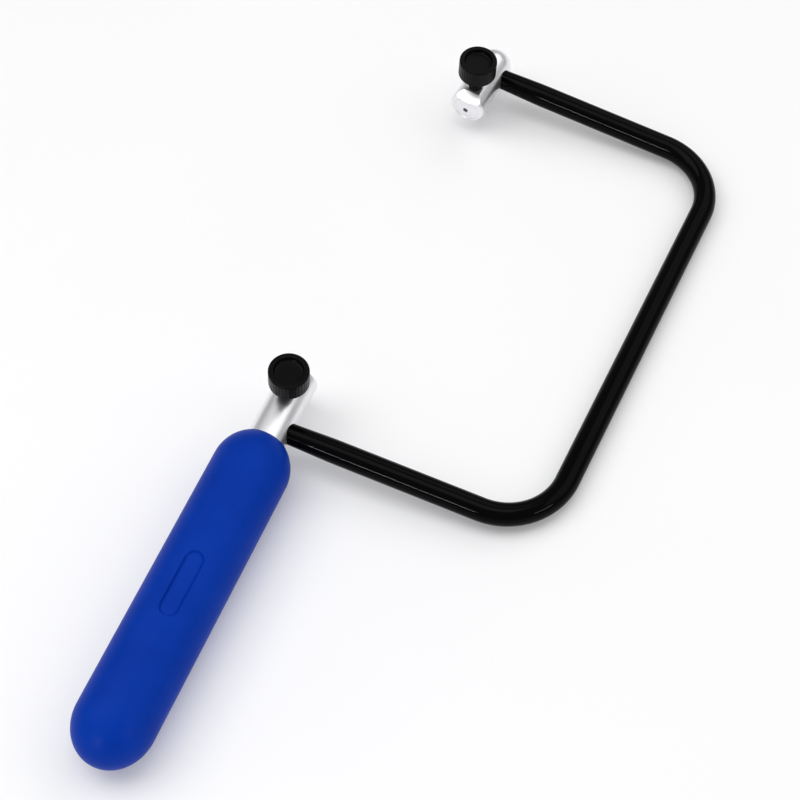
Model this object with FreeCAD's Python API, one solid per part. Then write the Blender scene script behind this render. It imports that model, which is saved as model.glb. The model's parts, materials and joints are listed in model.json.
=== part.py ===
import FreeCAD, Part
import math
import os

# Hand bow for spiral saw blades, lying on its side on a bench.
# It is drawn flat first, with the bow in the XY plane:
#   origin  where the handle's axis crosses the base arm of the bow
#   +X      from the handle's axis to the back of the bow
#   +Y      along the handle, towards the tip clamp
#   +Z      along the clamp screws, towards the knobs
# Everything is then laid on the bench by one placement at the end.

V = FreeCAD.Vector

# ---- bow rod ----
rod_dia = 8.0
base_arm = 93.0         # handle axis to the corner of the back
back_length = 161.6     # corner to corner
base_turn = 87.0        # degrees; the unstrung bow stands open
tip_turn = 89.0
bend_radius = 22.0      # to the middle of the rod
rod_end_dia = 7.1       # the ends are drawn down to fit the clamps
rod_end_length = 6.0    # from a clamp's axis to the start of the taper
rod_taper_length = 15.0
rod_seat = 4.6          # how far the rod runs past a clamp's axis
tip_clamp_x = 8.7       # the tip clamp's distance from the handle's axis line

# ---- handle ----
grip_dia = 25.5
grip_front = -3.7
grip_rear = -123.1
front_dome = 13.7
rear_dome = 14.3
panel_length = 23.0
panel_width = 6.5
panel_depth = 0.6
panel_middle = -65.6
panel_turn = 5.0        # degrees from the top of the handle, towards the bow
core_dia = 18.0
core_front = -14.0
core_rear = -104.0
core_rib_dia = 20.0
core_rib_width = 4.0
core_rib_count = 5

# ---- clamps ----
clamp_dia = 13.0
base_nose = 22.0        # along the clamp's axis, from the rod
tip_nose = 19.8
nose_face_dia = 3.4
nose_cone = 0.9
nose_round = 1.4
tip_tail = 10.2         # rounded end behind the rod
base_screw_y = 12.6     # from the rod to the clamp screw
tip_screw_y = 12.1
blade_bore = 1.8
blade_bore_past = 3.0   # how far the bore runs past the clamp screw
shoulder_rear = -16.0   # the full diameter ends here, inside the grip
tang_dia = 8.0
tang_rear = -74.0
tang_bevel = 0.8
tang_groove_depth = 0.6
tang_groove_width = 1.6
tang_groove_pitch = 6.0
tang_groove_count = 4
tang_groove_first = -52.0
tang_pin_dia = 3.0
tang_pin_length = 16.0
tang_pin_y = -36.0
seat_half_chord = 3.1   # milled flat under the tip knob
seat_front = 3.4        # from the screw's axis towards the nose
seat_back = 3.6
land_drop = 2.2         # the flat falls this much from the seat to the nose

# ---- clamp screws and knobs ----
screw_dia = 5.0
screw_pitch = 0.8
knob_dia = 13.5
knob_height = 7.2
knob_bevel = 0.6
knob_dish_dia = 10.0
knob_dish_depth = 1.8
knob_flutes = 36
flute_dia = 0.7
collar_dia = 6.6
collar_height = 0.5
closed_head = 9.4       # underside of the head above the clamp's axis, screwed home
tip_open_turns = 3.6    # how far the tip knob is backed off
stud_in_head = 4.6
stud_bevel = 0.4
pad_dia = 4.0
pad_height = 1.2
pad_spigot_dia = 1.7
pad_spigot = 1.2
pad_lift = 0.12         # pad above the floor of its hole, screwed home
lock_dia = 4.0          # set screw that holds the rod
lock_key = 2.0
lock_key_depth = 1.6
lock_bite = 0.5
lock_sunk = 0.5

# ---- fits ----
slip = 0.02             # pieces fixed together
run = 0.05              # pieces that turn or slide
edge_flat = 1e-6        # an edge lower than this is a level rim

rod_r = rod_dia / 2
rod_end_r = rod_end_dia / 2
grip_r = grip_dia / 2
clamp_r = clamp_dia / 2
bore_r = blade_bore / 2

screw_floor = -bore_r    # bottom of the screw hole, level with the bottom of the blade's bore

X, Y, Z = V(1, 0, 0), V(0, 1, 0), V(0, 0, 1)


def cylinder(radius, start, end):
    """Solid round bar between two points."""
    axis = end - start
    return Part.makeCylinder(radius, axis.Length, start, axis)


def turned(profile):
    """Solid turned about Y from edges in the XY plane, closed along the axis."""
    wire = Part.Wire(profile)
    closing = line(wire.OrderedVertexes[-1].Point, wire.OrderedVertexes[0].Point)
    face = Part.Face(Part.Wire(wire.Edges + [closing]))
    return face.revolve(V(0, 0, 0), Y, 360)


def line(a, b):
    return Part.LineSegment(a, b).toShape()


def fillet_arc(before, corner, after, radius):
    """Tangent arc of the given radius at a corner, with its two ends."""
    back_dir = (before - corner).normalize()
    on_dir = (after - corner).normalize()
    half = back_dir.getAngle(on_dir) / 2
    cut = radius / math.tan(half)
    start = corner + back_dir * cut
    end = corner + on_dir * cut
    middle_dir = (back_dir + on_dir).normalize()
    middle = corner + middle_dir * (radius / math.sin(half) - radius)
    return start, Part.Arc(start, middle, end).toShape(), end


def dome_arc(tip_y, root_y, radius):
    """Quarter of an ellipse from the axis at tip_y out to the radius at root_y."""
    length = abs(tip_y - root_y)
    sign = 1 if tip_y > root_y else -1
    points = []
    steps = 12
    for i in range(steps + 1):
        a = math.pi / 2 * i / steps
        points.append(V(radius * math.sin(a), root_y + sign * length * math.cos(a), 0))
    curve = Part.BSplineCurve()
    curve.interpolate(points, InitialTangent=V(1, 0, 0), FinalTangent=V(0, -sign, 0))
    return curve.toShape()


# ---- the bow's line ----
back_dir = V(math.cos(math.radians(base_turn)), math.sin(math.radians(base_turn)), 0)
whole_turn = math.radians(base_turn + tip_turn)
arm_dir = V(math.cos(whole_turn), math.sin(whole_turn), 0)      # tip arm, away from the back
base_corner = V(base_arm, 0, 0)
tip_corner = base_corner + back_dir * back_length
tip_axis = V(arm_dir.y, -arm_dir.x, 0)                          # along the tip clamp, outwards
tip_cross = tip_corner + arm_dir * ((tip_clamp_x - tip_corner.x) / arm_dir.x)

# Local frame of the tip clamp: its Y is the clamp's axis, its origin is on the rod.
tip_lean = math.degrees(math.atan2(tip_axis.x, tip_axis.y))
tip_place = FreeCAD.Placement(tip_cross, FreeCAD.Rotation(Z, -tip_lean))


def rod_end(cross, away):
    """Drawn-down end of the rod: a plain seat inside the clamp and a long taper."""
    seat = cylinder(rod_end_r, cross - away * rod_seat, cross + away * rod_end_length)
    taper_start = cross + away * rod_end_length
    taper = Part.makeCone(rod_end_r, rod_r, rod_taper_length, taper_start, away)
    return seat.fuse(taper)


def bow_rod():
    reach = rod_end_length + rod_taper_length
    start = X * reach
    end = tip_cross - arm_dir * reach
    s1, arc1, e1 = fillet_arc(start, base_corner, tip_corner, bend_radius)
    s2, arc2, e2 = fillet_arc(base_corner, tip_corner, end, bend_radius)
    path = Part.Wire([line(start, s1), arc1, line(e1, s2), arc2, line(e2, end)])
    section = Part.Wire(Part.makeCircle(rod_r, start, X))
    rod = path.makePipeShell([section], True, False, 2)
    rod = rod.fuse([rod_end(V(0, 0, 0), X), rod_end(tip_cross, arm_dir * -1)])
    rod = rod.cut(lock_dimple())
    return rod.cut(placed_at_tip(lock_dimple()))


def placed_at_tip(shape):
    shape.Placement = tip_place.multiply(shape.Placement)
    return shape


def lock_dimple():
    """Spot drilled in the underside of the rod for the set screw's point."""
    return cylinder(lock_dia / 2 + slip, V(0, 0, -rod_r - 1), V(0, 0, -rod_end_r + lock_bite))


# ---- handle ----
def grip_form(inset=0.0):
    """Outer shape of the grip, or the same shape with its wall moved inwards."""
    radius = grip_r - inset
    rear_root = grip_rear + rear_dome
    front_root = grip_front - front_dome
    rear = dome_arc(grip_rear + inset, rear_root, radius)
    front = dome_arc(grip_front - inset, front_root, radius)
    side = line(V(radius, rear_root, 0), V(radius, front_root, 0))
    return turned([rear, side, front])


def panel_prism():
    """Rounded slot standing through the top of the grip."""
    half = panel_length / 2 - panel_width / 2
    r = panel_width / 2
    low, high = panel_middle - half, panel_middle + half
    edges = [
        line(V(r, low, 0), V(r, high, 0)),
        Part.Arc(V(r, high, 0), V(0, high + r, 0), V(-r, high, 0)).toShape(),
        line(V(-r, high, 0), V(-r, low, 0)),
        Part.Arc(V(-r, low, 0), V(0, low - r, 0), V(r, low, 0)).toShape(),
    ]
    prism = Part.Face(Part.Wire(edges)).extrude(Z * grip_dia)
    prism.rotate(V(0, 0, 0), Y, panel_turn)
    return prism


def core_form(gap=0.0):
    """Stiff core inside the grip: a bar with ribs that key it to the grip."""
    core = cylinder(core_dia / 2 + gap, V(0, core_rear - gap, 0), V(0, core_front + gap, 0))
    pitch = (core_front - core_rear - core_rib_width) / (core_rib_count + 1)
    for i in range(core_rib_count):
        low = core_rear + pitch * (i + 1)
        rib = cylinder(core_rib_dia / 2 + gap, V(0, low - gap, 0), V(0, low + core_rib_width + gap, 0))
        core = core.fuse(rib)
    return core.removeSplitter()


def tang_pin(gap=0.0):
    half = tang_pin_length / 2 + gap
    return cylinder(tang_pin_dia / 2 + gap, V(0, tang_pin_y, -half), V(0, tang_pin_y, half))


def handle_grip():
    panel = panel_prism().cut(grip_form(panel_depth))
    grip = grip_form().cut(panel)
    grip = grip.cut(core_form(slip))
    mouth = cylinder(clamp_r + slip, V(0, core_front - 1, 0), V(0, grip_front + 1, 0))
    return grip.cut(mouth)


def handle_core():
    core = core_form()
    socket = cylinder(clamp_r + slip, V(0, shoulder_rear - slip, 0), V(0, core_front + 1, 0))
    tang_hole = cylinder(tang_dia / 2 + slip, V(0, tang_rear - 0.5, 0), V(0, shoulder_rear, 0))
    return core.cut(socket.fuse(tang_hole)).cut(tang_pin(slip))


# ---- clamp bodies ----
def nose_profile(nose):
    """Points of a nose from its face out to the clamp's full diameter."""
    face = V(nose_face_dia / 2, nose, 0)
    cone = V(clamp_r - nose_round, nose - nose_cone, 0)
    side = V(clamp_r, nose - nose_cone - nose_round, 0)
    bulge = nose_round * (1 - math.sqrt(0.5))
    middle = V(clamp_r - bulge, nose - nose_cone - bulge, 0)
    return face, cone, middle, side


def rod_hole():
    """Blind cross hole for the end of the rod, open towards the bow."""
    return cylinder(rod_end_r + slip, V(-rod_seat - 0.2, 0, 0), V(clamp_dia, 0, 0))


def lock_hole():
    return cylinder(lock_dia / 2 + slip, V(0, 0, -clamp_dia), V(0, 0, -rod_end_r + lock_bite))


def screw_hole(screw_y):
    """Tapped hole for the clamp screw, flat at the bottom of the blade's bore."""
    return cylinder(screw_dia / 2 + run, V(0, screw_y, screw_floor), V(0, screw_y, clamp_dia))


def blade_hole(screw_y, nose):
    return cylinder(bore_r, V(0, screw_y - blade_bore_past, 0), V(0, nose + 1, 0))


def handle_clamp():
    face, cone, middle, side = nose_profile(base_nose)
    tang_r = tang_dia / 2
    bevel_in, bevel_out = V(tang_r - tang_bevel, tang_rear, 0), V(tang_r, tang_rear + tang_bevel, 0)
    profile = [
        line(V(0, tang_rear, 0), bevel_in),
        line(bevel_in, bevel_out),
        line(bevel_out, V(tang_r, shoulder_rear, 0)),
        line(V(tang_r, shoulder_rear, 0), V(clamp_r, shoulder_rear, 0)),
        line(V(clamp_r, shoulder_rear, 0), side),
        Part.Arc(side, middle, cone).toShape(),
        line(cone, face),
        line(face, V(0, base_nose, 0)),
    ]
    body = turned(profile)
    for i in range(tang_groove_count):
        low = tang_groove_first - tang_groove_pitch * i
        ring = cylinder(tang_dia, V(0, low, 0), V(0, low + tang_groove_width, 0))
        inner = cylinder(tang_r - tang_groove_depth, V(0, low, 0), V(0, low + tang_groove_width, 0))
        body = body.cut(ring.cut(inner))
    body = body.cut(tang_pin(slip)).cut(rod_hole()).cut(lock_hole())
    return body.cut(screw_hole(base_screw_y)).cut(blade_hole(base_screw_y, base_nose))


def tip_clamp():
    """Clamp at the free end, drawn with its nose towards +Y and turned about afterwards."""
    face, cone, middle, side = nose_profile(tip_nose)
    tail_root = -(tip_tail - clamp_r)
    tail = dome_arc(-tip_tail, tail_root, clamp_r)
    profile = [
        tail,
        line(V(clamp_r, tail_root, 0), side),
        Part.Arc(side, middle, cone).toShape(),
        line(cone, face),
        line(face, V(0, tip_nose, 0)),
    ]
    body = turned(profile)
    body = body.cut(seat_cutter())
    body = body.cut(lock_hole())
    body = body.cut(screw_hole(tip_screw_y)).cut(blade_hole(tip_screw_y, tip_nose))
    body.rotate(V(0, 0, 0), Z, 180)
    return placed_at_tip(body.cut(rod_hole()))


def seat_cutter():
    """Milled flat under the tip knob, which falls away in front of the screw."""
    seat_z = math.sqrt(clamp_r ** 2 - seat_half_chord ** 2)
    rear = tip_screw_y - seat_back
    front = tip_screw_y + seat_front
    nose = tip_nose + 1
    outline = [
        V(0, rear, seat_z),
        V(0, front, seat_z),
        V(0, nose, seat_z - land_drop * (nose - front) / (tip_nose - front)),
        V(0, nose, clamp_dia),
        V(0, rear, clamp_dia),
    ]
    face = Part.Face(Part.makePolygon(outline + outline[:1]))
    cutter = face.extrude(X * clamp_dia)
    cutter.translate(X * -clamp_r)
    return cutter


# ---- knobs, screws and pads, drawn about Z with the clamp's axis at z = 0 ----
def knob_head():
    base = closed_head
    top = base + knob_height
    r = knob_dia / 2
    dish_r = knob_dish_dia / 2
    head = cylinder(r, V(0, 0, base), V(0, 0, top))
    rims = [edge for edge in head.Edges if edge.BoundBox.ZLength < edge_flat]
    head = head.makeChamfer(knob_bevel, rims)
    head = head.cut(cylinder(dish_r, V(0, 0, top - knob_dish_depth), V(0, 0, top + 1)))
    head = head.fuse(cylinder(collar_dia / 2, V(0, 0, base - collar_height), V(0, 0, base + 1)))
    low, high = base + knob_bevel, top - knob_bevel
    flutes = []
    for i in range(knob_flutes):
        a = 2 * math.pi * i / knob_flutes
        x, y = r * math.cos(a), r * math.sin(a)
        flutes.append(cylinder(flute_dia / 2, V(x, y, low), V(x, y, high)))
    head = head.cut(Part.makeCompound(flutes))
    insert = cylinder(screw_dia / 2 + slip, V(0, 0, base - 2), V(0, 0, base + stud_in_head + slip))
    return head.cut(insert)


def clamp_stud():
    top = closed_head + stud_in_head
    low = screw_floor + pad_lift + pad_height + run
    r = screw_dia / 2
    stud = cylinder(r, V(0, 0, low), V(0, 0, top))
    point = [edge for edge in stud.Edges if edge.BoundBox.ZMax < low + edge_flat]
    stud = stud.makeChamfer(stud_bevel, point)
    socket = cylinder(pad_spigot_dia / 2 + run, V(0, 0, low - 1), V(0, 0, low + pad_spigot))
    return stud.cut(socket)


def blade_pad():
    low = screw_floor + pad_lift
    high = low + pad_height
    pad = cylinder(pad_dia / 2, V(0, 0, low), V(0, 0, high))
    return pad.fuse(cylinder(pad_spigot_dia / 2, V(0, 0, high - 0.5), V(0, 0, high + pad_spigot - 0.1)))


def lock_screw():
    """Set screw in the underside of a clamp, drawn on the rod's axis."""
    low = -clamp_r + lock_sunk
    high = -rod_end_r + lock_bite - run
    screw = cylinder(lock_dia / 2, V(0, 0, low), V(0, 0, high))
    corner_r = lock_key / math.sqrt(3)
    turns = [math.pi / 3 * i for i in range(7)]
    hexagon = [V(corner_r * math.cos(a), corner_r * math.sin(a), low) for a in turns]
    key = Part.Face(Part.makePolygon(hexagon)).extrude(Z * lock_key_depth)
    return screw.cut(key)


def at_base_screw(shape):
    shape.translate(V(0, base_screw_y, 0))
    return shape


def at_tip_screw(shape):
    shape.translate(V(0, -tip_screw_y, tip_open_turns * screw_pitch))
    return placed_at_tip(shape)


nodes = {
    "handle_grip": handle_grip(),
    "handle_core": handle_core(),
    "tang_pin": tang_pin(),
    "handle_clamp": handle_clamp(),
    "bow_rod": bow_rod(),
    "tip_clamp": tip_clamp(),
    "handle_rod_screw": lock_screw(),
    "tip_rod_screw": placed_at_tip(lock_screw()),
    "handle_knob": at_base_screw(knob_head()),
    "handle_knob_stud": at_base_screw(clamp_stud()),
    "handle_blade_pad": at_base_screw(blade_pad()),
    "tip_knob": at_tip_screw(knob_head()),
    "tip_knob_stud": at_tip_screw(clamp_stud()),
    "tip_blade_pad": at_tip_screw(blade_pad()),
}

# ---- laid on the bench ----
# The grip's side and the far end of the back touch it, so the bow leans over about Y.
far_cut = bend_radius * math.tan(math.radians(tip_turn) / 2)
far_contact = tip_corner - back_dir * far_cut
far_x = far_contact.x + bend_radius * (1 - math.sin(math.radians(base_turn)))
lay_angle = math.asin((grip_r - rod_r) / far_x)
lay = FreeCAD.Placement(V(0, 0, grip_r), FreeCAD.Rotation(Y, math.degrees(lay_angle)))

for shape in nodes.values():
    shape.Placement = lay.multiply(shape.Placement)
box = Part.makeCompound(list(nodes.values())).optimalBoundingBox(False, False)
centre = V((box.XMin + box.XMax) / 2, (box.YMin + box.YMax) / 2, 0)

os.makedirs("parts", exist_ok=True)
for name, shape in nodes.items():
    shape.translate(centre * -1)
    assert shape.isValid() and len(shape.Solids) == 1, name
    shape.exportStep(f"parts/{name}.step")
    print(name, round(shape.Volume, 1))


def row(point):
    """A point of the flat drawing, in the finished frame, in metres."""
    p = (lay.multVec(point) - centre) * 0.001
    return [round(c, 6) for c in p]


up = lay.Rotation.multVec(Z)
print("bench height", round(box.ZMin, 4))
print("size", [round(v, 2) for v in (box.XLength, box.YLength, box.ZLength)])
print("centre", round(centre.x, 4), round(centre.y, 4), "lay angle", round(math.degrees(lay_angle), 4))
print("screw axis", [round(c, 6) for c in up])
print("handle screw", row(V(0, base_screw_y, 0)))
print("tip screw", row(tip_place.multVec(V(0, -tip_screw_y, 0))))
print("handle blade mouth", row(V(0, base_nose, 0)), "axis", [0, 1, 0])
print("tip blade mouth", row(tip_place.multVec(V(0, -tip_nose, 0))))
print("tip blade axis", [round(-c, 6) for c in lay.Rotation.multVec(tip_axis)])
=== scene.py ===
import json
import math

import bmesh
import bpy
from mathutils import Matrix, Vector


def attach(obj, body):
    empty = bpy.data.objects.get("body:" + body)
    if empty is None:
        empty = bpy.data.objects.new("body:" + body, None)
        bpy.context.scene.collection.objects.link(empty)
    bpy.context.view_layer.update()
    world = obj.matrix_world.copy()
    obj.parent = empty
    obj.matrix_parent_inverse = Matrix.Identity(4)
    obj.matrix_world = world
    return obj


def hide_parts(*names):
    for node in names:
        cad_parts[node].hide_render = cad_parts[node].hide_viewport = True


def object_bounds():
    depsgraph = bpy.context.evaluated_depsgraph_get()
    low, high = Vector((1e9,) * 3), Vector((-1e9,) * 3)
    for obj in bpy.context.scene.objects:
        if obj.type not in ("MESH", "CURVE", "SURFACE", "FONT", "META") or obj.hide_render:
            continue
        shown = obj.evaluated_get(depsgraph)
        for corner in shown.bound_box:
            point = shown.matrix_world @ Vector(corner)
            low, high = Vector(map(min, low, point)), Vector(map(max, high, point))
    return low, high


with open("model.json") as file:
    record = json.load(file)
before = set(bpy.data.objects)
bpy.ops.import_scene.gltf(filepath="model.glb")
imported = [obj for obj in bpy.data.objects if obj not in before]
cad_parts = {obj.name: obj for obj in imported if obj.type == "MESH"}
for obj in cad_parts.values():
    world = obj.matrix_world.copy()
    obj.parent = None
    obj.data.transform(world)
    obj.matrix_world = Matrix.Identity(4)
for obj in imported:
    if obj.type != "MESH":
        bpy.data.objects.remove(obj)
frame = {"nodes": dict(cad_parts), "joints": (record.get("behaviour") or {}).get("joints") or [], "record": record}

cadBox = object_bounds()
mm = 0.001
tau = 2 * math.pi
joints = {j["name"]: j for j in frame["joints"]}
mounts = {m["name"]: m for m in frame["record"]["mounts"]}
print("frame loaded:", len(frame["nodes"]), "CAD nodes")


# frames of the bow and of its two clamps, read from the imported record
def place(origin, xDir, yDir, zDir):
    turn = Matrix((xDir, yDir, zDir)).transposed().to_4x4()
    return Matrix.Translation(origin) @ turn


# lengths in millimetres from the rod's axis; turnsOpen says how far the knob is backed off
clamps = {
    "handle": {"joint": "handle_knob_turn", "mount": "handle_blade_bore", "screwFromRod": 12.6,
               "nose": 22.0, "rodSide": 1, "turnsOpen": 0.0},
    "tip": {"joint": "tip_knob_turn", "mount": "tip_blade_bore", "screwFromRod": 12.1,
            "nose": 19.8, "rodSide": -1, "turnsOpen": 3.6},
}
screwDir = Vector(joints["handle_knob_turn"]["axis"]).normalized()
for clamp in clamps.values():
    clamp["screwAt"] = Vector(joints[clamp["joint"]]["pos_m"])
    noseDir = Vector(mounts[clamp["mount"]]["axis"]).normalized()
    rodAt = clamp["screwAt"] - noseDir * clamp["screwFromRod"] * mm
    clamp["place"] = place(rodAt, noseDir.cross(screwDir), noseDir, screwDir)

bowPlace = clamps["handle"]["place"]      # handle's axis along Y, back of the bow towards +X
knobTurn = bowPlace.to_3x3().to_4x4()


# camera: degrees and millimetres in the bow's frame, clip distances in metres
view = {"azimuth": 19.41, "elevation": 59.88, "roll": -4.25, "distance": 564.32,
        "aim": (33.42, 26.31, 0.0), "lens": 77.47, "sensor": 36.0, "clip": (0.01, 20)}


def makeCamera():
    turn, rise, roll = (math.radians(view[k]) for k in ("azimuth", "elevation", "roll"))
    back = Vector((math.sin(turn) * math.cos(rise), -math.cos(turn) * math.cos(rise),
                   math.sin(rise)))
    level = (-back).cross(Vector((0, 0, 1))).normalized()
    down = (-back).cross(level)
    right = level * math.cos(roll) + down * math.sin(roll)
    up = level * math.sin(roll) - down * math.cos(roll)
    spot = (Vector(view["aim"]) + back * view["distance"]) * mm
    data = bpy.data.cameras.new("camera")
    data.lens, data.sensor_width = view["lens"], view["sensor"]
    data.clip_start, data.clip_end = view["clip"]
    camera = bpy.data.objects.new("camera", data)
    bpy.context.scene.collection.objects.link(camera)
    camera.matrix_world = bowPlace @ place(spot, right, up, back)
    bpy.context.scene.camera = camera


makeCamera()
print("camera placed")


# an output socket that takes part in sums
class Sock:
    def __init__(self, tree, out):
        self.tree, self.out = tree, out

    def math(self, operation, a, b):
        return self.tree.add("ShaderNodeMath", {"operation": operation}, {0: a, 1: b})

    def __add__(self, other): return self.math("ADD", self, other)
    def __radd__(self, other): return self.math("ADD", other, self)
    def __mul__(self, other): return self.math("MULTIPLY", self, other)
    def __rmul__(self, other): return self.math("MULTIPLY", other, self)
    def __pow__(self, other): return self.math("POWER", self, other)
    def __rpow__(self, other): return self.math("POWER", other, self)


# a material's node tree
class Tree:
    def __init__(self, name):
        self.material = bpy.data.materials.new(name)
        self.material.use_nodes = True
        self.nodes = self.material.node_tree.nodes
        self.links = self.material.node_tree.links
        self.nodes.clear()

    # one node: its settings first, then the values or links of its sockets
    def add(self, kind, settings=None, sockets=None, out=0):
        node = self.nodes.new(kind)
        for key, value in (settings or {}).items():
            setattr(node, key, value)
        for key, value in (sockets or {}).items():
            if isinstance(value, Sock):
                self.links.new(value.out, node.inputs[key])
            else:
                node.inputs[key].default_value = value
        return Sock(self, node.outputs[out]) if node.outputs else None

    def noise(self, where, scale, detail, rough=0.5):
        return self.add("ShaderNodeTexNoise", {}, {
            "Vector": where, "Scale": scale, "Detail": detail, "Roughness": rough})

    def ramp(self, value, low, high):
        return self.add("ShaderNodeMapRange", {"interpolation_type": "SMOOTHSTEP"},
                        {"Value": value, "From Min": low, "From Max": high})

    # sockets 6 and 7 are the Mix node's two colours, and output 2 is its colour
    def blend(self, share, a, b):
        return self.add("ShaderNodeMix", {"data_type": "RGBA"}, {0: share, 6: a, 7: b}, out=2)

    # height in millimetres
    def bump(self, height):
        return self.add("ShaderNodeBump", {}, {"Height": height, "Distance": mm})

    def shader(self, sockets):
        return self.add("ShaderNodeBsdfPrincipled", {}, sockets)

    def finish(self, shader):
        self.add("ShaderNodeOutputMaterial", {}, {"Surface": shader})
        return self.material


# screen values from 0 to 255 turned into the linear colour that nodes take
def paint(red, green, blue):
    lin = [c / 12.92 if c <= 0.04045 else ((c + 0.055) / 1.055) ** 2.4
           for c in (red / 255, green / 255, blue / 255)]
    return (*lin, 1.0)


def localPoint(tree):
    return tree.add("ShaderNodeTexCoord", out=3)      # Object coordinates


# a made piece's point in the frame it was drawn in
def ownPoint(tree):
    return tree.add("ShaderNodeAttribute", {"attribute_name": "ownPlace"}, out=1)


# materials: scales per metre, depths in millimetres
bluePlasticLook = {"colour": paint(8, 57, 166), "deep": paint(2, 44, 142), "cloudScale": 60,
                   "rough": 0.36, "gloss": 0.035,
                   "grainScale": 2600, "grainDepth": 0.012, "grainRough": 0.06,
                   "sinkScale": 45, "sinkDepth": 0.08,
                   "scuffScale": 350, "scuffRange": (0.6, 0.75), "scuffRough": 0.05}


def bluePlastic():
    look, tree = bluePlasticLook, Tree("satin blue plastic")
    p = ownPoint(tree)
    cloud = tree.noise(p, look["cloudScale"], detail=4)
    grain = tree.noise(p, look["grainScale"], detail=2)
    sink = tree.noise(p, look["sinkScale"], detail=1)
    scuff = tree.ramp(tree.noise(p, look["scuffScale"], detail=6, rough=0.7), *look["scuffRange"])
    return tree.finish(tree.shader({
        "Base Color": tree.blend(cloud, look["deep"], look["colour"]),
        "Roughness": look["rough"] + look["grainRough"] * grain + look["scuffRough"] * scuff,
        "Normal": tree.bump(grain * look["grainDepth"] + sink * look["sinkDepth"]),
        "Specular IOR Level": look["gloss"]}))


blackLacquerLook = {"colour": paint(4, 4, 5), "rough": 0.05, "gloss": 0.045,
                    "peelScale": 1600, "peelDepth": 0.006,
                    "dust": paint(34, 34, 37), "dustScale": 2400, "dustRange": (0.68, 0.78),
                    "dustShare": 0.35, "dustRough": 0.2,
                    "wearScale": 180, "wearRough": 0.03}


def blackLacquer():
    look, tree = blackLacquerLook, Tree("gloss black lacquer")
    p = ownPoint(tree)
    peel = tree.noise(p, look["peelScale"], detail=2)
    dust = tree.ramp(tree.noise(p, look["dustScale"], detail=3, rough=0.6), *look["dustRange"])
    wear = tree.noise(p, look["wearScale"], detail=4)
    return tree.finish(tree.shader({
        "Base Color": tree.blend(dust * look["dustShare"], look["colour"], look["dust"]),
        "Roughness": look["rough"] + look["wearRough"] * wear + look["dustRough"] * dust,
        "Normal": tree.bump(peel * look["peelDepth"]),
        "Specular IOR Level": look["gloss"]}))


turnedAluminiumLook = {"colour": paint(246, 246, 247), "dull": paint(231, 231, 235), "rough": 0.24,
                       "ringScale": 5200, "ringDepth": 0.002, "ringRough": 0.12,
                       "bandScale": 700, "bandShare": 0.3,
                       "cloudScale": 160, "cloudShare": 0.7, "cloudRough": 0.05}


def turnedAluminium():
    look, tree = turnedAluminiumLook, Tree("turned aluminium")
    p = ownPoint(tree)
    x = tree.add("ShaderNodeSeparateXYZ", {}, {0: p})
    y, z = (Sock(tree, x.out.node.outputs[k]) for k in (1, 2))
    radius = (x * x + z * z) ** 0.5
    # tool marks run round the turning axis, so they change along it and outwards from it only
    across = tree.add("ShaderNodeCombineXYZ", {}, {0: radius, 1: y})
    rings = tree.noise(across, look["ringScale"], detail=2, rough=0.7)
    bands = tree.noise(across, look["bandScale"], detail=2)
    cloud = tree.noise(p, look["cloudScale"], detail=3)
    share = cloud * look["cloudShare"] + bands * look["bandShare"]
    return tree.finish(tree.shader({
        "Base Color": tree.blend(share, look["dull"], look["colour"]), "Metallic": 1.0,
        "Roughness": look["rough"] + look["ringRough"] * rings + look["cloudRough"] * cloud,
        "Normal": tree.bump(rings * look["ringDepth"])}))


blackPlasticLook = {"colour": paint(7, 7, 8), "pale": paint(14, 14, 15), "rough": 0.24,
                    "gloss": 0.065, "cloudScale": 300, "cloudShare": 0.6,
                    "grainScale": 3200, "grainDepth": 0.012, "grainRough": 0.1}


def blackPlastic():
    look, tree = blackPlasticLook, Tree("satin black plastic")
    p = ownPoint(tree)
    grain = tree.noise(p, look["grainScale"], detail=2)
    cloud = tree.noise(p, look["cloudScale"], detail=4)
    return tree.finish(tree.shader({
        "Base Color": tree.blend(cloud * look["cloudShare"], look["colour"], look["pale"]),
        "Roughness": look["rough"] + look["grainRough"] * grain,
        "Normal": tree.bump(grain * look["grainDepth"]),
        "Specular IOR Level": look["gloss"]}))


# plain worked metals and the moulded core differ only in their numbers
plainLooks = {
    "black oxide steel": {"colour": paint(26, 25, 27), "spot": paint(48, 42, 40), "metal": 1.0,
                          "rough": 0.38, "scale": 900},
    "ground steel": {"colour": paint(186, 188, 192), "spot": paint(150, 152, 158), "metal": 1.0,
                     "rough": 0.25, "scale": 1400},
    "turned brass": {"colour": paint(214, 178, 106), "spot": paint(176, 138, 74), "metal": 1.0,
                     "rough": 0.28, "scale": 1200},
    "grey core plastic": {"colour": paint(118, 118, 122), "spot": paint(98, 98, 102),
                          "metal": 0.0, "rough": 0.5, "scale": 500},
}
plainMarks = {"spotRange": (0.35, 0.7), "spotRough": 0.14, "finer": 4, "fineDepth": 0.006}


def plainFinish(name):
    look, marks, tree = plainLooks[name], plainMarks, Tree(name)
    p = localPoint(tree)
    patch = tree.noise(p, look["scale"], detail=4, rough=0.6)
    fine = tree.noise(p, look["scale"] * marks["finer"], detail=2)
    spots = tree.ramp(patch, *marks["spotRange"])
    return tree.finish(tree.shader({
        "Base Color": tree.blend(spots, look["colour"], look["spot"]),
        "Metallic": look["metal"], "Roughness": look["rough"] + marks["spotRough"] * patch,
        "Normal": tree.bump(fine * marks["fineDepth"])}))


finishes = {
    "blue_plastic": bluePlastic(),
    "black_rod": blackLacquer(),
    "bare_aluminium": turnedAluminium(),
    "black_plastic": blackPlastic(),
    "black_steel": plainFinish("black oxide steel"),
    "plain_steel": plainFinish("ground steel"),
    "brass": plainFinish("turned brass"),
    "core_plastic": plainFinish("grey core plastic"),
}
print("materials made:", len(finishes))


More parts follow.
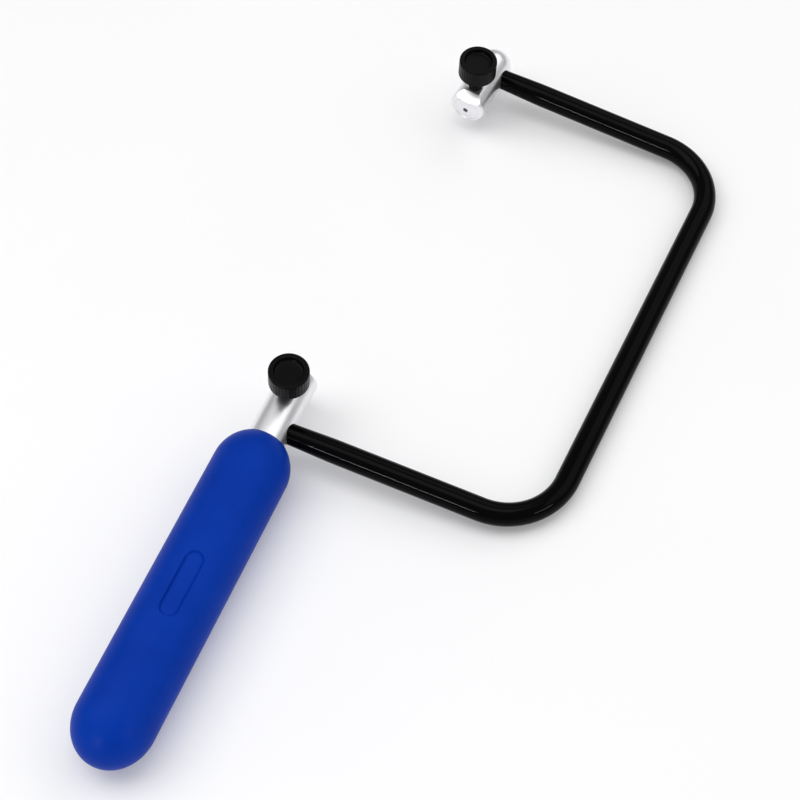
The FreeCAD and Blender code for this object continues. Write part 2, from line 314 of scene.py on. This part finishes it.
# mesh helpers, all in millimetres in the piece's own frame
def loopOf(count, spotAt):
    return [spotAt(tau * i / count) for i in range(count)]


# closed loops of points joined into one skin, with its two ends closed by fans
def skin(rows):
    verts = [p for row in rows for p in row]
    n = len(rows[0])
    faces = []
    for k in range(len(rows) - 1):
        a, b = k * n, (k + 1) * n
        faces += [(a + i, a + (i + 1) % n, b + (i + 1) % n, b + i) for i in range(n)]
    for base, row, flip in ((0, rows[0], True), ((len(rows) - 1) * n, rows[-1], False)):
        verts.append(sum((Vector(p) for p in row), Vector()) / n)
        hub = len(verts) - 1
        for i in range(n):
            j = (i + 1) % n
            faces.append((base + j, base + i, hub) if flip else (base + i, base + j, hub))
    return verts, faces


def bareObject(name, verts, faces):
    mesh = bpy.data.meshes.new(name)
    mesh.from_pydata([Vector(v) * mm for v in verts], [], faces)
    work = bmesh.new()
    work.from_mesh(mesh)
    bmesh.ops.recalc_face_normals(work, faces=work.faces)
    work.to_mesh(mesh)
    work.free()
    thing = bpy.data.objects.new(name, mesh)
    bpy.context.scene.collection.objects.link(thing)
    return thing


# a solid turned about its Y axis from points (y, radius)
def turnedObject(name, profile, count):
    rows = [loopOf(count, lambda a: (r * math.cos(a), y, r * math.sin(a))) for y, r in profile]
    return bareObject(name, *skin(rows))


def carve(thing, cutters):
    for cutter in cutters:
        cut = thing.modifiers.new("cut", "BOOLEAN")
        cut.operation, cut.solver, cut.object = "DIFFERENCE", "EXACT", cutter
    deps = bpy.context.evaluated_depsgraph_get()
    done = bpy.data.meshes.new_from_object(thing.evaluated_get(deps))
    thing.modifiers.clear()
    thing.data = done
    for cutter in cutters:
        bpy.data.objects.remove(cutter)


# gives a piece its finish, place and body, and keeps its own coordinates for the finish
def dress(thing, where, slotName, body, stoodFor, sharp):
    mesh = thing.data
    mesh.materials.clear()
    mesh.materials.append(finishes[slotName])
    spots = mesh.attributes.new("ownPlace", "FLOAT_VECTOR", "POINT")
    spots.data.foreach_set("vector", [c for v in mesh.vertices for c in v.co])
    mesh.transform(where)
    mesh.shade_smooth()
    mesh.set_sharp_from_angle(angle=math.radians(sharp))
    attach(thing, body)
    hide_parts(stoodFor)


# points on an arc, from one angle to another in degrees
def arcPoints(centre, radius, start, end, steps):
    spots = []
    for i in range(steps + 1):
        a = math.radians(start + (end - start) * i / steps)
        spots.append((centre[0] + radius * math.cos(a), centre[1] + radius * math.sin(a)))
    return spots


# bow rod: millimetres and degrees, from the handle clamp's axis
rod = {"radius": 3.985, "endRadius": 3.55, "plainEnd": 6.0, "taper": 15.0, "seat": 4.6,
       "baseArm": 93.0, "backLength": 161.6, "baseTurn": 87.0, "tipTurn": 89.0,
       "bendRadius": 22.0, "bendSqueeze": 0.05, "tipClampX": 8.7,
       "ringSides": 72, "step": 2.5, "bendSteps": 40, "sharp": 35}


# centre line of the rod as (point, direction, bend share), from the handle clamp to the tip clamp
def rodLine():
    line, at, heading = [], Vector((-rod["seat"], 0, 0)), 0.0
    turns = [math.radians(rod["baseTurn"]), math.radians(rod["tipTurn"])]
    r = rod["bendRadius"]
    cuts = [r * math.tan(t / 2) for t in turns]
    lastHeading = sum(turns)
    corner = Vector((rod["baseArm"], 0, 0))
    farCorner = corner + rod["backLength"] * Vector((math.cos(turns[0]), math.sin(turns[0]), 0))
    lastArm = (rod["tipClampX"] - farCorner.x) / math.cos(lastHeading)
    runs = [rod["seat"] + rod["baseArm"] - cuts[0], rod["backLength"] - sum(cuts),
            lastArm + rod["seat"] - cuts[1]]
    for k, run in enumerate(runs):
        ahead = Vector((math.cos(heading), math.sin(heading), 0))
        steps = math.ceil(run / rod["step"])
        line += [(at + ahead * run * i / steps, ahead, 0.0) for i in range(steps + 1)]
        at = at + ahead * run
        if k < len(turns):
            hub = at + Vector((-ahead.y, ahead.x, 0)) * r
            for i in range(1, rod["bendSteps"]):
                share = i / rod["bendSteps"]
                a = heading + turns[k] * share
                spot = hub + Vector((math.sin(a), -math.cos(a), 0)) * r
                along = Vector((math.cos(a), math.sin(a), 0))
                line.append((spot, along, math.sin(math.pi * share)))
            heading += turns[k]
            at = hub + Vector((math.sin(heading), -math.cos(heading), 0)) * r
    return line


def makeRod():
    line = rodLine()
    lengths = [0.0]
    for (a, _, _), (b, _, _) in zip(line, line[1:]):
        lengths.append(lengths[-1] + (b - a).length)
    rows = []
    for (spot, ahead, bend), along in zip(line, lengths):
        fromEnd = min(along, lengths[-1] - along) - rod["seat"] - rod["plainEnd"]
        grow = min(max(fromEnd / rod["taper"], 0.0), 1.0)
        radius = rod["endRadius"] + (rod["radius"] - rod["endRadius"]) * grow
        side = Vector((ahead.y, -ahead.x, 0)) * radius * (1 - rod["bendSqueeze"] * bend)
        up = Vector((0, 0, radius))
        rows.append(loopOf(rod["ringSides"],
                           lambda a: spot + side * math.cos(a) + up * math.sin(a)))
    thing = bareObject("rod_tube", *skin(rows))
    dress(thing, bowPlace, "black_rod", "frame", "bow_rod", rod["sharp"])


makeRod()
print("bow rod made")


# grip: millimetres along the handle from the rod's axis
grip = {"radius": 12.75, "front": -3.7, "rear": -123.1, "frontDome": 13.7, "rearDome": 14.3,
        "domeSteps": 36, "mouth": 6.54, "mouthRound": 0.35, "mouthSteps": 6, "mouthDepth": 3.0,
        "panelMiddle": -65.6, "panelLength": 23.0, "panelWidth": 6.5, "panelDepth": 0.6,
        "panelWall": 0.32, "panelTurn": 5.0, "panelMargin": 1.0,
        "moatDepth": 0.25, "moatWidth": 0.3, "fineStep": 0.14, "coarseStep": 3.0, "sharp": 60}


def gripProfile():
    frontRoot, rearRoot = grip["front"] - grip["frontDome"], grip["rear"] + grip["rearDome"]
    full, lip = grip["radius"], grip["mouthRound"]
    edge = math.asin((grip["mouth"] + lip) / full)
    mouthY = frontRoot + grip["frontDome"] * math.cos(edge)
    points = [(mouthY - grip["mouthDepth"], grip["mouth"]), (mouthY - 2 * lip, grip["mouth"])]
    rounded = arcPoints((0, grip["mouth"] + lip), lip, 180, 60, grip["mouthSteps"])
    points += [(mouthY - lip + y, r) for y, r in rounded[1:]]
    for i in range(1, grip["domeSteps"] + 1):
        a = edge + (math.pi / 2 - edge) * i / grip["domeSteps"]
        points.append((frontRoot + grip["frontDome"] * math.cos(a), full * math.sin(a)))
    half = grip["panelLength"] / 2 + grip["panelMargin"]
    y = frontRoot - grip["coarseStep"]
    # rows close together over the panel, and wide apart elsewhere
    while y > rearRoot + grip["coarseStep"] / 2:
        points.append((y, full))
        away = abs(y - grip["panelMiddle"]) - half
        y -= min(grip["coarseStep"], max(grip["fineStep"], away))
    for i in range(grip["domeSteps"]):
        a = math.pi / 2 * (1 - i / grip["domeSteps"])
        points.append((rearRoot - grip["rearDome"] * math.cos(a), full * math.sin(a)))
    return points


# how deep a point lies under the plain surface, from its distance inside the panel's outline
def panelSink(inside):
    share = min(max(inside / grip["panelWall"], 0.0), 1.0)
    fromWall = (inside - grip["panelWall"]) / grip["moatWidth"]
    moat = math.exp(-fromWall ** 2) * share
    return grip["panelDepth"] * share * share * (3 - 2 * share) + grip["moatDepth"] * moat


def makeGrip():
    halfSlot = grip["panelLength"] / 2 - grip["panelWidth"] / 2
    fineAngle = (grip["panelWidth"] / 2 + grip["panelMargin"]) / grip["radius"]
    angles, a = [], -fineAngle
    while a < fineAngle:
        angles.append(a)
        a += grip["fineStep"] / grip["radius"]
    rest = tau - 2 * fineAngle
    steps = math.ceil(rest / math.radians(grip["coarseStep"]))
    angles += [fineAngle + rest * i / steps for i in range(steps)]
    middle = math.radians(grip["panelTurn"])
    rows = []
    for y, r in gripProfile():
        row = []
        for a in angles:
            across = grip["radius"] * math.sin(a) if math.cos(a) > 0 else grip["radius"]
            along = max(abs(y - grip["panelMiddle"]) - halfSlot, 0.0)
            low = r - panelSink(grip["panelWidth"] / 2 - math.hypot(across, along))
            row.append((low * math.sin(a + middle), y, low * math.cos(a + middle)))
        rows.append(row)
    thing = bareObject("grip_body", *skin(rows))
    dress(thing, bowPlace, "blue_plastic", "frame", "handle_grip", grip["sharp"])


makeGrip()
print("grip made")


# clamp bodies: millimetres from the rod's axis, with the nose towards +Y and the knob towards +Z
clampBody = {"radius": 6.5, "faceRadius": 1.7, "cone": 0.9, "round": 1.4, "roundSteps": 10,
             "tail": 10.2, "tailFrom": 178, "tailSteps": 32, "shoulder": -12.0,
             "sides": 128, "sharp": 24,
             "ringPitch": 0.5, "ringDepth": 0.035, "perRing": 4, "grooveDepth": 0.16,
             "grooveSteps": (2, 3), "hubRadius": 0.4}
clampHoles = {"sides": 64, "over": 9.0,
              "boreRadius": 0.9, "boreEdge": 0.14, "borePast": 3.0, "boreOver": 0.5,
              "rodRadius": 3.57, "rodEdge": 0.2, "rodEdgeDeep": 1.6, "rodSeat": 4.8,
              "screwRadius": 2.55, "screwEdge": 0.9, "screwEdgeDeep": 1.0,
              "lockRadius": 2.02, "lockTop": -3.05}
tipFlat = {"halfChord": 3.1, "front": 3.4, "back": 3.6, "drop": 2.2, "over": 1.0}


def noseProfile(nose):
    c = clampBody
    edge = c["radius"] - c["round"]
    points = arcPoints((nose - c["cone"] - c["round"], edge), c["round"], 90, 0, c["roundSteps"])
    # one groove just inside the rounded edge, then fine turned rings in the face's shallow cone
    steps = int((edge - c["faceRadius"]) / c["ringPitch"]) * c["perRing"]
    for i in range(1, steps):
        r = edge + (c["faceRadius"] - edge) * i / steps
        y = nose - c["cone"] * (r - c["faceRadius"]) / (edge - c["faceRadius"])
        if i in c["grooveSteps"]:
            y -= c["grooveDepth"]
        elif i % c["perRing"] == c["perRing"] // 2:
            y -= c["ringDepth"]
        points.append((y, r))
    return points + [(nose, c["faceRadius"]), (nose, c["hubRadius"])]


def holeCutter(name, profile, turn):
    cutter = turnedObject(name, profile, clampHoles["sides"])
    cutter.data.transform(turn)
    return cutter


# cuts the flat under the tip's knob, level under the knob and falling from there to the nose
def flatCutter(screwAt, nose):
    f, radius, top = tipFlat, clampBody["radius"], clampHoles["over"]
    level = math.sqrt(radius ** 2 - f["halfChord"] ** 2)
    front, rear, end = screwAt + f["front"], screwAt - f["back"], nose + f["over"]
    fall = f["drop"] * (end - front) / (nose - front)
    outline = [(rear, level), (front, level), (end, level - fall), (end, top), (rear, top)]
    side = radius + f["over"]
    return bareObject("flatCutter", *skin([[(x, y, z) for y, z in outline] for x in (-side, side)]))


def makeClamp(which):
    c, h, clamp = clampBody, clampHoles, clamps[which]
    screwAt, nose, radius, over = clamp["screwFromRod"], clamp["nose"], c["radius"], h["over"]
    if which == "tip":      # the dome stops just short of its pole, where the skin closes it
        hub = (radius - c["tail"], 0)
        tail = arcPoints(hub, radius, c["tailFrom"], 90, c["tailSteps"])
    else:
        tail = [(c["shoulder"], radius)]
    thing = turnedObject(which + "ClampBody", tail + noseProfile(nose), c["sides"])
    toKnob = Matrix.Rotation(math.radians(90), 4, "X")
    toRod = Matrix.Rotation(math.radians(-90 * clamp["rodSide"]), 4, "Z")
    bore = [(screwAt - h["borePast"], h["boreRadius"]), (nose - h["boreEdge"], h["boreRadius"]),
            (nose + h["boreOver"], h["boreRadius"] + h["boreEdge"] + h["boreOver"])]
    rodHole = [(-h["rodSeat"], h["rodRadius"]), (radius - h["rodEdgeDeep"], h["rodRadius"]),
               (over, h["rodRadius"] + h["rodEdge"])]
    screwHole = [(-h["boreRadius"], h["screwRadius"]),
                 (radius - h["screwEdgeDeep"], h["screwRadius"]),
                 (over, h["screwRadius"] + h["screwEdge"])]
    lockHole = [(h["lockTop"], h["lockRadius"]), (-over, h["lockRadius"])]
    cutters = [holeCutter("boreCutter", bore, Matrix()),
               holeCutter("rodCutter", rodHole, toRod),
               holeCutter("screwCutter", screwHole,
                          Matrix.Translation((0, screwAt * mm, 0)) @ toKnob),
               holeCutter("lockCutter", lockHole, toKnob)]
    if which == "tip":
        cutters.insert(0, flatCutter(screwAt, nose))
    carve(thing, cutters)
    thing.name = which + "_clamp_body"
    dress(thing, clamp["place"], "bare_aluminium", "frame", which + "_clamp", c["sharp"])


for which in clamps:
    makeClamp(which)
print("clamps made")


# thumb knobs: millimetres from the underside of the head; homeHeight is where that sits above
# the clamp's axis with the knob screwed home
knob = {"radius": 6.75, "height": 7.198, "homeHeight": 9.4, "pitch": 0.8, "sharp": 40,
        "bevel": 0.6, "bevelSteps": 10, "soft": 0.18, "softSteps": 4, "sideSteps": 6,
        "underSlope": 0.05, "collarRadius": 3.3, "collarHeight": 0.5, "boreRadius": 2.4,
        "dishRadius": 5.0, "dishDepth": 1.8, "dishFillet": 0.9, "filletSteps": 6,
        "hubRadius": 0.6, "flutes": 36, "fluteDepth": 0.08, "perFlute": 8, "fluteFade": 1.6,
        "fluteWidth": 1.5}


# (radius, height, flute share) from the collar's inner edge, round the outside, into the dish
def knobProfile():
    k = knob
    full, top, soft, bevel = k["radius"], k["height"], k["soft"], k["bevel"]
    collar, under = k["collarRadius"], -k["collarHeight"]
    dish, floor, fillet = k["dishRadius"], top - k["dishDepth"], k["dishFillet"]
    points = [(k["boreRadius"], under, 0), (collar - soft, under, 0), (collar, under + soft, 0),
              (collar, 0, 0), (full - bevel - soft, 0, 0), (full - bevel, k["underSlope"], 0),
              (full - soft, bevel - soft, 0.2), (full, bevel, 0.7), (full, bevel + soft, 1.0)]
    points += [(full, bevel + (top - 2 * bevel) * i / k["sideSteps"], 1.0)
               for i in range(1, k["sideSteps"])]
    points += [(full - bevel + r, top - bevel + z, max(0.0, 1 - z / bevel * k["fluteFade"]))
               for r, z in arcPoints((0, 0), bevel, 0, 90, k["bevelSteps"])]
    points += [(dish + soft + r, top - soft + z, 0)
               for r, z in arcPoints((0, 0), soft, 90, 180, k["softSteps"])]
    points += [(dish - fillet + r, floor + fillet + z, 0)
               for r, z in arcPoints((0, 0), fillet, 0, -90, k["filletSteps"])]
    return points + [(dish / 2, floor, 0), (k["hubRadius"], floor, 0)]


def makeKnob(which):
    k, clamp = knob, clamps[which]
    count = k["flutes"] * k["perFlute"]
    lift = k["homeHeight"] + clamp["turnsOpen"] * k["pitch"]
    rows = []
    for r, z, share in knobProfile():
        row = []
        for i in range(count):
            a = tau * i / count
            wave = max(0.0, math.cos(a * k["flutes"])) ** k["fluteWidth"]
            dip = wave * k["fluteDepth"] * share
            row.append(((r - dip) * math.cos(a), (r - dip) * math.sin(a), z + lift))
        rows.append(row)
    thing = bareObject(which + "_thumb_knob", *skin(rows))
    where = Matrix.Translation(clamp["screwAt"]) @ knobTurn
    dress(thing, where, "black_plastic", which + "_screw", which + "_knob", k["sharp"])


# threaded studs: low is the stud's end above the clamp's axis with the knob screwed home
stud = {"major": 2.48, "minor": 2.05, "low": 0.47, "length": 13.5, "sides": 48, "perTurn": 12,
        "bevel": 0.45, "endUnder": 0.2, "flankSlope": 2.6, "rootFlat": 0.65, "threadRise": 0.9,
        "sharp": 50}


def makeStud(which):
    s, clamp = stud, clamps[which]
    lift = s["low"] + clamp["turnsOpen"] * knob["pitch"]
    steps = int(s["length"] / knob["pitch"] * s["perTurn"])
    endRadius = s["minor"] - s["endUnder"]
    rows = []
    for j in range(steps + 1):
        z = s["length"] * j / steps
        cap = endRadius + z / s["bevel"] * (s["major"] - endRadius)      # bevel at the lower end
        row = []
        for i in range(s["sides"]):
            turn = (z / knob["pitch"] - i / s["sides"]) % 1.0
            rise = abs(turn - 0.5) * s["flankSlope"] - s["rootFlat"]
            crest = min(max(rise, 0.0), s["threadRise"]) / s["threadRise"]
            r = min(s["minor"] + (s["major"] - s["minor"]) * crest, cap)
            a = tau * i / s["sides"]
            row.append((r * math.cos(a), r * math.sin(a), z + lift))
        rows.append(row)
    thing = bareObject(which + "_stud_thread", *skin(rows))
    where = Matrix.Translation(clamp["screwAt"]) @ knobTurn
    dress(thing, where, "black_steel", which + "_screw", which + "_knob_stud", s["sharp"])


for which in clamps:
    makeKnob(which)
    makeStud(which)
print("knobs and studs made")


# CAD nodes that stay as they are: the hidden core and pin, set screws and pads
keptSharp = 30
keptNodes = {"handle_core": "core_plastic", "tang_pin": "plain_steel",
             "handle_rod_screw": "black_steel", "tip_rod_screw": "black_steel",
             "handle_blade_pad": "brass", "tip_blade_pad": "brass"}
for name, slotName in keptNodes.items():
    mesh = frame["nodes"][name].data
    mesh.materials.clear()
    mesh.materials.append(finishes[slotName])
    mesh.shade_smooth()
    mesh.set_sharp_from_angle(angle=math.radians(keptSharp))
print("CAD nodes finished:", len(keptNodes))


# floor and lights
studio = {"floorSize": 6.0, "floor": paint(249, 249, 250), "cloud": paint(245, 245, 246),
          "mottleScale": 9, "rough": 0.75, "gloss": 0.2, "world": 0.4}
# azimuth from +Y towards +X and elevation, in degrees, from the bow's middle; metres and watts
lamps = {
    "key": {"azimuth": 262, "elevation": 58, "distance": 1.3, "size": (0.9, 0.8),
            "power": 4.9, "shadow": True},
    "top": {"azimuth": 350, "elevation": 86, "distance": 1.3, "size": (0.7, 0.7),
            "power": 3.0, "shadow": True},
    "back": {"azimuth": 38, "elevation": 48, "distance": 1.3, "size": (2.0, 0.8),
             "power": 4.9, "shadow": True},
    "side": {"azimuth": 108, "elevation": 24, "distance": 1.2, "size": (0.4, 0.05),
             "power": 1.8, "shadow": False},
    "strip": {"azimuth": 190, "elevation": 22, "distance": 1.2, "size": (0.3, 0.02),
              "power": 3.2, "shadow": False},
}


def makeFloor():
    tree = Tree("pale floor")
    mottle = tree.noise(localPoint(tree), studio["mottleScale"], detail=2)
    look = tree.shader({"Base Color": tree.blend(mottle, studio["floor"], studio["cloud"]),
                        "Roughness": studio["rough"], "Specular IOR Level": studio["gloss"]})
    half = studio["floorSize"] / 2
    corners = [(-half, -half, 0), (half, -half, 0), (half, half, 0), (-half, half, 0)]
    mesh = bpy.data.meshes.new("floor")
    mesh.from_pydata(corners, [], [(0, 1, 2, 3)])
    mesh.materials.append(tree.finish(look))
    floor = bpy.data.objects.new("floor", mesh)
    bpy.context.scene.collection.objects.link(floor)


def makeLamp(name):
    lamp = lamps[name]
    data = bpy.data.lights.new(name, "AREA")
    data.shape = "RECTANGLE"
    data.size, data.size_y = lamp["size"]
    data.energy, data.use_shadow = lamp["power"], lamp["shadow"]
    turn, rise = math.radians(lamp["azimuth"]), math.radians(lamp["elevation"])
    towards = Vector((math.sin(turn) * math.cos(rise), math.cos(turn) * math.cos(rise),
                      math.sin(rise)))
    light = bpy.data.objects.new(name, data)
    bpy.context.scene.collection.objects.link(light)
    light.location = (cadBox[0] + cadBox[1]) / 2 + towards * lamp["distance"]
    light.rotation_euler = towards.to_track_quat("Z", "Y").to_euler()


def makeStudio():
    scene = bpy.context.scene
    scene.view_settings.view_transform = "Standard"
    world = bpy.data.worlds.new("studio")
    scene.world = world
    world.use_nodes = True
    sky = world.node_tree.nodes["Background"]
    sky.inputs["Color"].default_value = (1, 1, 1, 1)
    sky.inputs["Strength"].default_value = studio["world"]
    makeFloor()
    for name in lamps:
        makeLamp(name)


makeStudio()
print("studio made")
